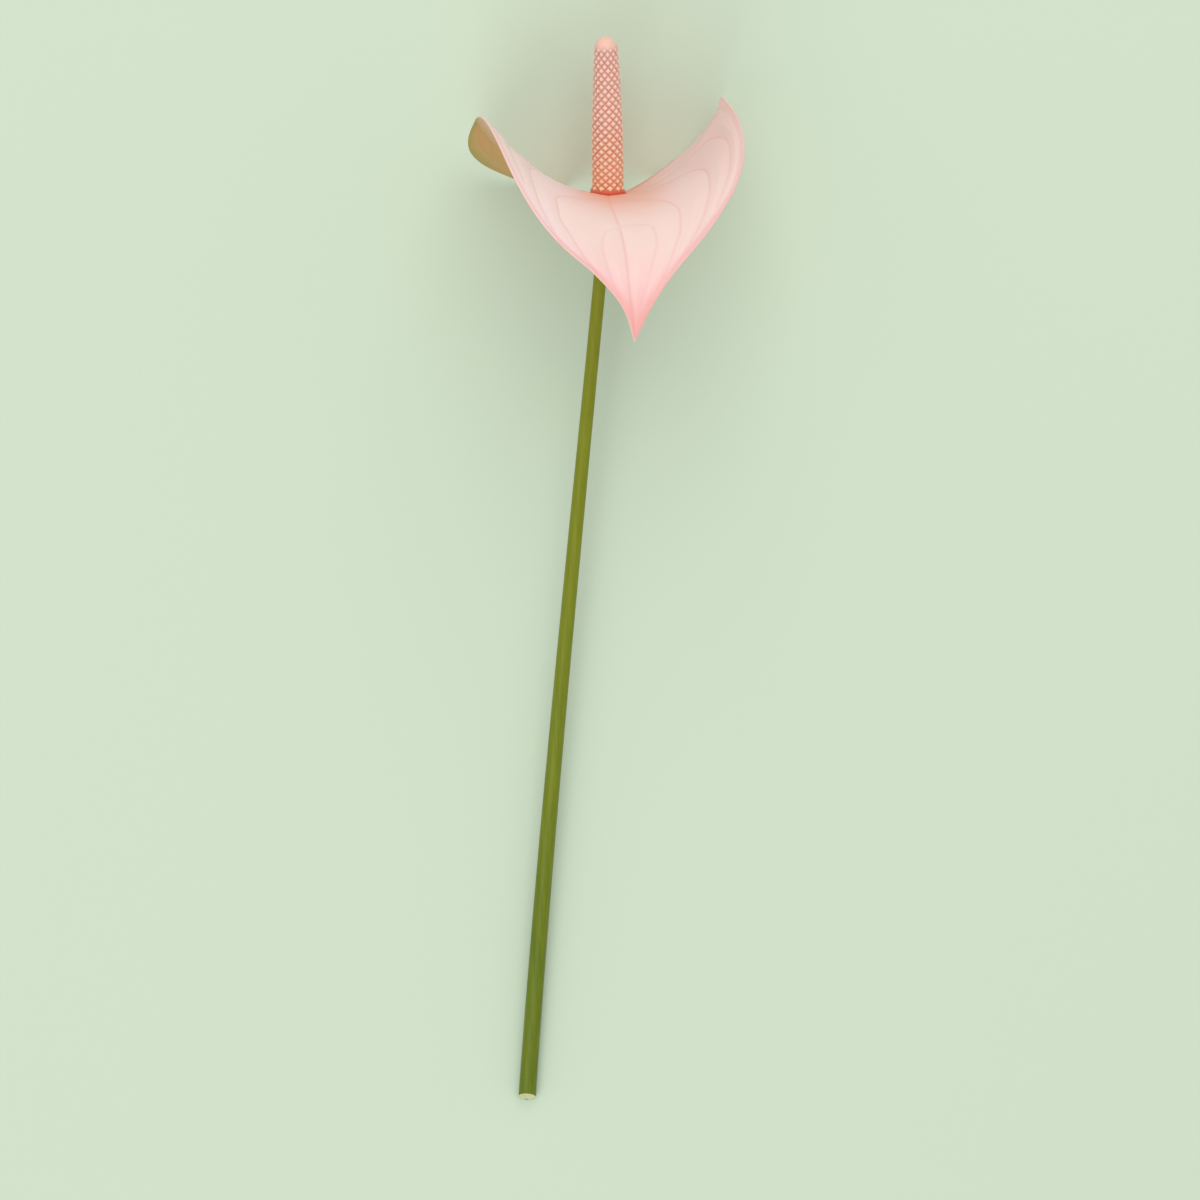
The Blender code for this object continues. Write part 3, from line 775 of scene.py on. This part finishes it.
add_node(lattice, "NodeGroupOutput", {0: finished})

grow = core.modifiers.new("florets", "NODES")
grow.node_group = lattice
for name, kind, value in lattice_inputs:
    if value is not None:
        grow[sockets[name]] = value
grown = core.evaluated_get(bpy.context.evaluated_depsgraph_get())
grown = bpy.data.meshes.new_from_object(grown)
core.modifiers.remove(grow)
core.data = grown
for helper in (seats, floret):
    bpy.data.objects.remove(helper)
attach(core, "root")
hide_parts("spadix")


# Studio: a plain pale sage floor, one broad soft light above and a little ahead of the flower, a
# weaker one from the other side, and a camera that looks down on the flower, so that its face,
# its spadix and the top of its stalk all show.
VIEW_TILT = 10                                       # at the flower, from straight down, degrees
VIEW_DISTANCE = 1.0
VIEW_AIM = Vector((-0.001, 0.0005, 0.02))
VIEW_LENS = 142
FLOOR_REACH = 3
SKY_STRENGTH = 0.62

floor_paint, tree, shader = new_material("matt_sage_paper")
set_inputs(tree, shader, {"Base Color": linear("#CDDDC6"), "Roughness": 0.9})
floor_corners = [(x * FLOOR_REACH, y * FLOOR_REACH, 0)
                 for x, y in ((-1, -1), (1, -1), (1, 1), (-1, 1))]
floor = new_piece("floor", floor_corners, [(0, 1, 2, 3)], [floor_paint])

for name, place, width, watts in (("broad_light", (0.1, 1.3, 1.3), 1.4, 14),
                                  ("side_light", (-0.5, -0.9, 1.2), 1.2, 7)):
    lamp = bpy.data.objects.new(name, bpy.data.lights.new(name, "AREA"))
    lamp.data.size, lamp.data.energy = width, watts
    lamp.location = place
    lamp.rotation_euler = (-lamp.location).to_track_quat("-Z", "Y").to_euler()
    bpy.context.collection.objects.link(lamp)
sky = bpy.data.worlds.new("studio")
bpy.context.scene.world = sky
sky.use_nodes = True
set_inputs(sky.node_tree, sky.node_tree.nodes["Background"],
           {"Color": linear("#FFFFFF"), "Strength": SKY_STRENGTH})
bpy.context.scene.view_settings.view_transform = "Standard"

camera = bpy.data.objects.new("camera", bpy.data.cameras.new("camera"))
tilt = math.radians(VIEW_TILT)
away = VIEW_DISTANCE * Vector((0, math.sin(tilt), math.cos(tilt)))
camera.location = Vector(ATTACHMENT) + away
back = (camera.location - VIEW_AIM).normalized()
right = Vector((0, 1, 0)).cross(back).normalized()
camera.rotation_euler = Matrix((right, back.cross(right), back)).transposed().to_euler()
camera.data.lens = VIEW_LENS
camera.data.clip_end = 10
bpy.context.collection.objects.link(camera)
bpy.context.scene.camera = camera
